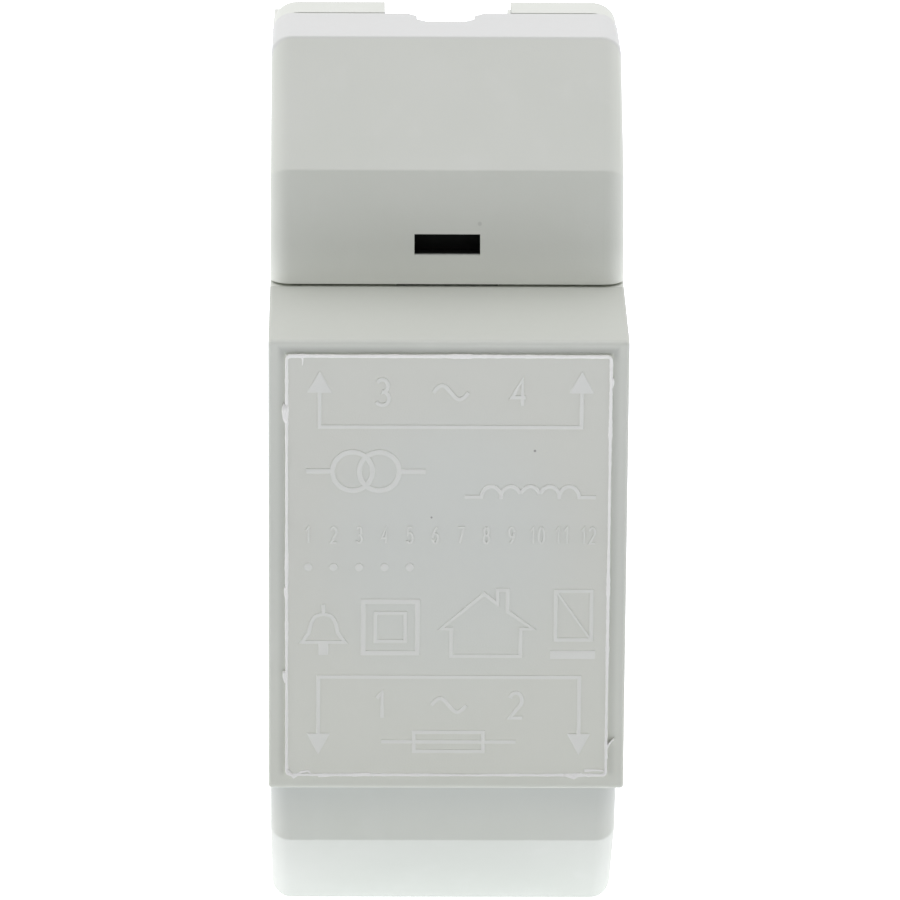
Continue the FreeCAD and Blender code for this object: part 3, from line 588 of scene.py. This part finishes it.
marks += bracket(-12.5, 12.9, 20.0, 14.4, 2.5) + bracket(-12.6, 13.0, -19.2, -11.2, 2.3)


def ripple(x, z, length, swing):
    """One full wave: the height follows the sine of the place along it."""
    t = np.linspace(0.0, 1.0, 25)
    return stroke(np.stack([x - length / 2 + length * t, z + swing * np.sin(2 * np.pi * t)], axis=1), PLAIN, RISE)


for sign, x, z in (("3", -6.4, 16.6), ("4", 6.8, 16.6), ("1", -6.4, -15.4), ("2", 6.8, -15.4)):
    marks += number(sign, x, z, 2.6, PLAIN, RISE)
marks += [ripple(0.2, 17.9, 3.4, 0.7), ripple(0.2, -14.1, 3.4, 0.7)]

# Fuse sign: a narrow box on a line
marks += [stroke([(-3.2, -16.9), (3.6, -16.9), (3.6, -18.9), (-3.2, -18.9)], PLAIN, RISE, closed=True),
          stroke([(-6.4, -17.9), (6.8, -17.9)], PLAIN, RISE)]

# Transformer sign: two rings that overlap, with a lead to each side
marks += [stroke(arc((x, 9.9), (1.95, 1.95), 0, 350, 36), BOLD, RISE, closed=True) for x in (-9.3, -6.7)]
marks += [stroke([(-13.8, 9.9), (-11.3, 9.9)], BOLD, RISE), stroke([(-4.7, 9.9), (-2.2, 9.9)], BOLD, RISE)]

# Coil sign: a row of half rings
coil_sign = chain(*[arc((4.2 + 1.9 * turn, 7.3), (0.95, 1.1), 180, 0, 11) for turn in range(5)])
marks += [stroke(chain([(1.6, 7.3)], coil_sign, [(14.4, 7.3)]), PLAIN, RISE)]

# Row of months with pips under it, as moulders use for the date
month_places = -13.6 + 2.48 * np.arange(12)
for month, place in enumerate(month_places):
    marks += number(str(month + 1), place, 2.6, 1.6, FINE, RISE, 0.55)
marks += [dot(place, 0.1, 0.42, RISE) for place in month_places[:5]]

# Bell with its handle and clapper
bell = chain([(-14.2, -7.6)], bow((-13.5, -6.6), (-13.3, -5.2), (-12.8, -4.9), 6), [(-12.1, -4.7)],
             bow((-11.4, -4.9), (-10.9, -5.2), (-10.7, -6.6), 6), [(-10.0, -7.6)])
marks += [stroke(bell, PLAIN, RISE, closed=True), stroke([(-12.1, -4.7), (-12.1, -3.7)], PLAIN, RISE),
          stroke([(-12.1, -7.7), (-12.1, -8.9)], 1.0, RISE)]

# Double square, and a house with its chimney
marks += [stroke([(-8.2, -3.4), (-2.9, -3.4), (-2.9, -8.7), (-8.2, -8.7)], BOLD, RISE, closed=True),
          stroke([(-7.0, -4.6), (-4.1, -4.6), (-4.1, -7.5), (-7.0, -7.5)], PLAIN, RISE, closed=True)]
house = [(-0.6, -6.2), (3.6, -2.6), (4.9, -3.6), (4.9, -2.2), (5.9, -2.2), (5.9, -4.4), (8.4, -6.2), (7.2, -6.2),
         (7.2, -9.0), (0.4, -9.0), (0.4, -6.2)]
marks += [stroke(house, PLAIN, RISE, closed=True)]

# Box with a diagonal over a solid bar
marks += [stroke([(10.6, -2.3), (14.1, -2.3), (14.1, -7.3), (10.6, -7.3)], PLAIN, RISE, closed=True),
          stroke([(10.7, -2.4), (14.0, -7.2)], FINE, RISE), stroke([(10.1, -8.85), (14.5, -8.85)], 0.9, RISE)]


def mark_build(graph):
    """The plate's grey, a shade paler, and paler still towards the foot, as painted table light."""
    x, y, z = graph.place()
    colour = graph.blend(graph.ramp(graph.noise(55.0, 3.0), 0.3, 0.7), (0.690, 0.708, 0.650), (0.712, 0.726, 0.674))
    # Painted light from the table, paler towards the foot, as on the plate
    return {"Base Color": graph.blend(table_light_mask(graph, z) * 0.6, colour, (0.825, 0.842, 0.775)),
            "Roughness": 0.42 + 0.12 * graph.noise(900.0, 2.0)}


gather("plate_marks", marks, finish("mark_plastic", mark_build), False)

# %% [markdown]
# ## Moulding flash
#
# Where the plate's insert met the mould, plastic crept out and left a thin ragged lip along all four edges. It is the
# same stroke, carried once round the plate, with a width and height that wander. Sums of sines with unrelated
# frequencies wander without repeating, and need no random numbers.

# %% Moulding flash


def wander(t, seed):
    """Uneven value between 0 and 1 from five sines of growing frequency f, each weaker than the one before.

    The value is 0.5 + sum of sin(f t + seed (1.7 + f)) / (1 + 0.35 k) / 5.2, where k counts the sines from 0."""
    total = sum(np.sin(t * rate + seed * (1.7 + rate)) / (1.0 + 0.35 * place)
                for place, rate in enumerate((0.31, 0.83, 1.97, 4.3, 8.9)))
    return np.clip(0.5 + total / 5.2, 0.0, 1.0)


def plate_outline(step, rounding):
    """Points round the plate at even steps. The corners are cut by a bow between points a rounding away from them."""
    corners = np.array([(-PLATE_HALF, PLATE_LOW), (-PLATE_HALF, PLATE_TOP),
                        (PLATE_HALF, PLATE_TOP), (PLATE_HALF, PLATE_LOW)])
    sides = []
    for start, end, after in zip(corners, np.roll(corners, -1, axis=0), np.roll(corners, -2, axis=0)):
        way, turn = (end - start) / np.linalg.norm(end - start), (after - end) / np.linalg.norm(after - end)
        first, last = start + way * rounding, end - way * rounding
        count = int(np.linalg.norm(last - first) / step)
        sides.append(first + (last - first) * np.linspace(0.0, 1.0, count, endpoint=False)[:, None])
        sides.append(bow(last, end, end + turn * rounding, 6)[:-1])
    return np.concatenate(sides)


FLASH_STEP, FLASH_ROUNDING, FLASH_INSET = 0.22, 0.45, 0.10
rim = plate_outline(FLASH_STEP, FLASH_ROUNDING)
run = np.arange(len(rim)) * FLASH_STEP
centre = rim * (1.0 - FLASH_INSET / np.array([PLATE_HALF, PLATE_TOP]))
flash_width = 0.24 + 0.20 * wander(run, 1.0) ** 2
flash_height = 0.05 + 0.14 * wander(run, 2.3) ** 1.5
flash = [stroke(centre, flash_width, flash_height, root=0.3, closed=True)]

# Thicker bits where the insert leaked most, each a line and its width: three on the left edge, one at the upper
# right, two at each lower corner, a tick in the upper left corner and a nick low on the right
LUMPS = (([(-15.80, 16.6), (-15.98, 16.0), (-15.92, 15.2), (-15.78, 14.8)], 0.50),
         ([(-15.80, -10.7), (-16.0, -11.2), (-15.8, -11.8)], 0.52),
         ([(-15.78, -2.0), (-15.9, -2.5), (-15.78, -3.0)], 0.34),
         ([(15.8, 19.3), (15.95, 18.9), (15.8, 18.4)], 0.36),
         ([(-15.6, -20.9), (-15.0, -21.6), (-14.3, -21.1), (-13.6, -20.95), (-13.1, -21.45)], 0.34),
         ([(-12.6, -21.5), (-10.6, -21.35), (-7.6, -21.2), (-7.1, -21.5)], 0.28),
         ([(11.6, -21.3), (12.6, -21.65), (13.3, -21.2), (14.1, -21.5)], 0.36),
         ([(13.6, -20.9), (14.4, -20.75), (15.6, -20.9)], 0.32),
         ([(-14.2, 21.4), (-14.1, 21.0), (-14.2, 20.6)], 0.20),
         ([(15.78, -19.6), (15.7, -18.8), (16.0, -18.1), (16.45, -17.6)], 0.26))
for line, width in LUMPS:
    bowed = bow(line[0], line[len(line) // 2], line[-1], 9) if len(line) == 3 else np.asarray(line, float)
    taper = width * np.linspace(1.0, 0.45, len(bowed))
    flash += [stroke(bowed, taper, 0.10, root=0.42)]


def flash_build(graph):
    """Painted light: paler than the housing, for the light that a thin edge lets through."""
    return {"Base Color": graph.blend(graph.noise(900.0, 2.0), (0.82, 0.83, 0.78), (0.90, 0.90, 0.86)),
            "Roughness": 0.4 + 0.1 * graph.noise(2000.0, 2.0)}


gather("plate_flash", flash, finish("flash_plastic", flash_build), True)

# %% [markdown]
# ## Latch spring
#
# The spring stands on the boss of the base and pushes the rail latch up. The CAD spring is stiff, so the latch would
# cut through it on its way down. Its line is a helix, and the wire is a circle square to that line.

# %% Latch spring
COIL_DEPTH, COIL_FOOT, COIL_TOP, COIL_TURNS = 2.7, -29.75, -20.75, 4
COIL_RADIUS, WIRE_RADIUS, LATCH_TRAVEL = 1.2, 0.23, 3.5


def helix_tube(radius, wire, foot, top, turns, steps=28, around=12):
    """Tube along the helix (r cos a, r sin a, foot + rise a), where the angle a runs from 0 to 2 pi times the turns.

    The tangent is the helix's derivative. The wire's circle is spanned by the outward direction (cos a, sin a, 0) and
    by the cross product of the tangent with it."""
    angle = np.linspace(0.0, 2.0 * np.pi * turns, steps * turns + 1)
    rise = (top - foot) / angle[-1]
    outward = np.stack([np.cos(angle), np.sin(angle), np.zeros_like(angle)], axis=1)
    along = np.stack([-radius * np.sin(angle), radius * np.cos(angle), np.full_like(angle, rise)], axis=1)
    across = np.cross(along / np.linalg.norm(along, axis=1, keepdims=True), outward)
    centre = radius * outward + np.stack([0 * angle, 0 * angle, foot + rise * angle], axis=1)
    turn = np.linspace(0.0, 2.0 * np.pi, around, endpoint=False)[None, :, None]
    points = centre[:, None] + wire * (np.cos(turn) * outward[:, None] + np.sin(turn) * across[:, None])
    a = np.arange(len(angle) - 1)[:, None] * around + np.arange(around)[None, :]
    b = np.arange(len(angle) - 1)[:, None] * around + (np.arange(around)[None, :] + 1) % around
    quads = np.stack([a, b, b + around, a + around], axis=-1).reshape(-1, 4).tolist()
    caps = [list(range(around))[::-1], list(range((len(angle) - 1) * around, len(angle) * around))]
    return points.reshape(-1, 3), quads + caps


coil_points, coil_faces = helix_tube(COIL_RADIUS, WIRE_RADIUS, COIL_FOOT, COIL_TOP, COIL_TURNS)
coil_points = (coil_points + (0.0, COIL_DEPTH, 0.0)) * MM
spring = gather("sprung_coil", [(coil_points, coil_faces)], spring_steel, True)
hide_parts("latch_spring")
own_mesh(spring)

# %% [markdown]
# ## Light and floor
#
# The object stands on a lit white table in a white room. The room is brightest overhead and a little behind, which
# makes the top face the palest, and it has a bright patch on each side, which lights the rounded edges. The table
# lights the lower faces again. Lamps alone would leave hard steps between these tones. Here the room's own glow
# depends on the direction, and one wide lamp adds a little shape. Each patch is the cosine between the ray and the
# patch's direction, raised to a power: the higher the power, the smaller the patch.
#
# The table glows in bands. Each pair in `GLOW` is a band's edge on the camera's side, in millimetres along Y, and the
# brightness from there to the pair before it. Nearer to the camera than the last edge, the brightness is `NEAREST`.
#
# Only rays from the camera, from gloss and through glass see the room as pure white, so the background is white
# without more light on the object.

# %% Floor, room and lamp
ROOM = {"even": 0.012, "high": 2.16, "back": 0.27, "horizon": 0.20, "side": 0.20, "left": 2.50, "right": 2.00}
GLOW = ((0.0, 0.50), (-35.0, 0.97), (-60.0, 0.66), (-90.0, 0.00), (-150.0, 0.48), (-220.0, 1.26))
NEAREST, BAND_BLUR = 0.57, 15.0
TABLE_HALF = 1.5
LAMP_WATTS, LAMP_WIDTH, LAMP_PLACE, LAMP_TILT = 0.60, 0.6, (0.0, 0.35, 0.8), math.radians(-22.0)


def sees_white(graph):
    """1 for rays that should meet a white room: from the camera, from gloss or through glass."""
    camera_ray, gloss_ray, glass_ray = (graph.node("ShaderNodeLightPath", {}, {}, name) for name in
                                        ("Is Camera Ray", "Is Glossy Ray", "Is Transmission Ray"))
    return camera_ray.largest(gloss_ray).largest(glass_ray)


def table_build(graph):
    """White for the camera, greyer and a little bluer for what it lights. The glow steps softly from band to band."""
    x, y, z = graph.place()
    white = sees_white(graph)
    glow = NEAREST
    for edge, value in GLOW[::-1]:
        after = graph.ramp(y, edge - BAND_BLUR, edge + BAND_BLUR)
        glow = glow * (1.0 - after) + after * value
    glow = glow.largest(white)
    return {"Base Color": graph.blend(white, (0.50, 0.50, 0.50), (0.80, 0.80, 0.80)),
            "Emission Color": graph.node("ShaderNodeCombineColor", {}, {0: glow, 1: glow * 1.015, 2: glow * 1.11}),
            "Roughness": 0.85 + 0.1 * graph.noise(40.0)}


paper = bpy.data.meshes.new("table")
floor = cad_box[0][2]
corners = [(x * TABLE_HALF, y * TABLE_HALF, floor) for x, y in ((-1, -1), (1, -1), (1, 1), (-1, 1))]
paper.from_pydata(corners, [], [(0, 1, 2, 3)])
paper.materials.append(finish("table_white", table_build, **{"Emission Strength": 1.0}))
table = bpy.data.objects.new("table", paper)
bpy.context.scene.collection.objects.link(table)

world = bpy.data.worlds.new("room")
bpy.context.scene.world = world
room = Graph(world)
way = room.node("ShaderNodeTexCoord", {}, {}, "Generated")


def towards(x, y, z):
    """How far a ray points along a direction: 1 straight along it, and 0 square to it or away from it."""
    return room.node("ShaderNodeVectorMath", {"operation": "DOT_PRODUCT"}, {0: way, 1: (x, y, z)}, "Value").largest(0.0)


back = (0.5 + 0.5 * towards(0.0, 0.75, 0.66)) ** 1.8
high = ROOM["high"] * towards(0.0, 0.35, 0.94) ** 3.0
strength = (ROOM["even"] + ROOM["back"] * back + ROOM["horizon"] * towards(0.0, 1.0, 0.0) ** 4.0 + high
            + ROOM["side"] * (towards(0.90, 0.43, 0.0) ** 3.0 + towards(-0.90, 0.43, 0.0) ** 3.0)
            + ROOM["left"] * towards(-1.0, -0.05, 0.0) ** 8.0 + ROOM["right"] * towards(1.0, -0.05, 0.0) ** 8.0)
white = sees_white(room)
strength, high = strength * (1.0 - white) + white, high * (1.0 - white)
# The light from overhead is a little less green and more blue than the rest
tint = {0: strength, 1: strength - high * 0.025, 2: strength + high * 0.060}
room_light = room.node("ShaderNodeBackground", {}, {"Color": room.node("ShaderNodeCombineColor", {}, tint)})
room.node("ShaderNodeOutputWorld", {}, {"Surface": room_light})

lamp_data = bpy.data.lights.new("overhead", "AREA")
lamp_data.shape, lamp_data.size, lamp_data.energy = "SQUARE", LAMP_WIDTH, LAMP_WATTS
lamp = bpy.data.objects.new("overhead", lamp_data)
lamp.matrix_world = Matrix.Translation(LAMP_PLACE) @ Matrix.Rotation(LAMP_TILT, 4, "X")
bpy.context.scene.collection.objects.link(lamp)
bpy.context.scene.view_settings.view_transform = "Standard"
print("room", ROOM, "table", GLOW, "lamp", LAMP_WATTS, "W")
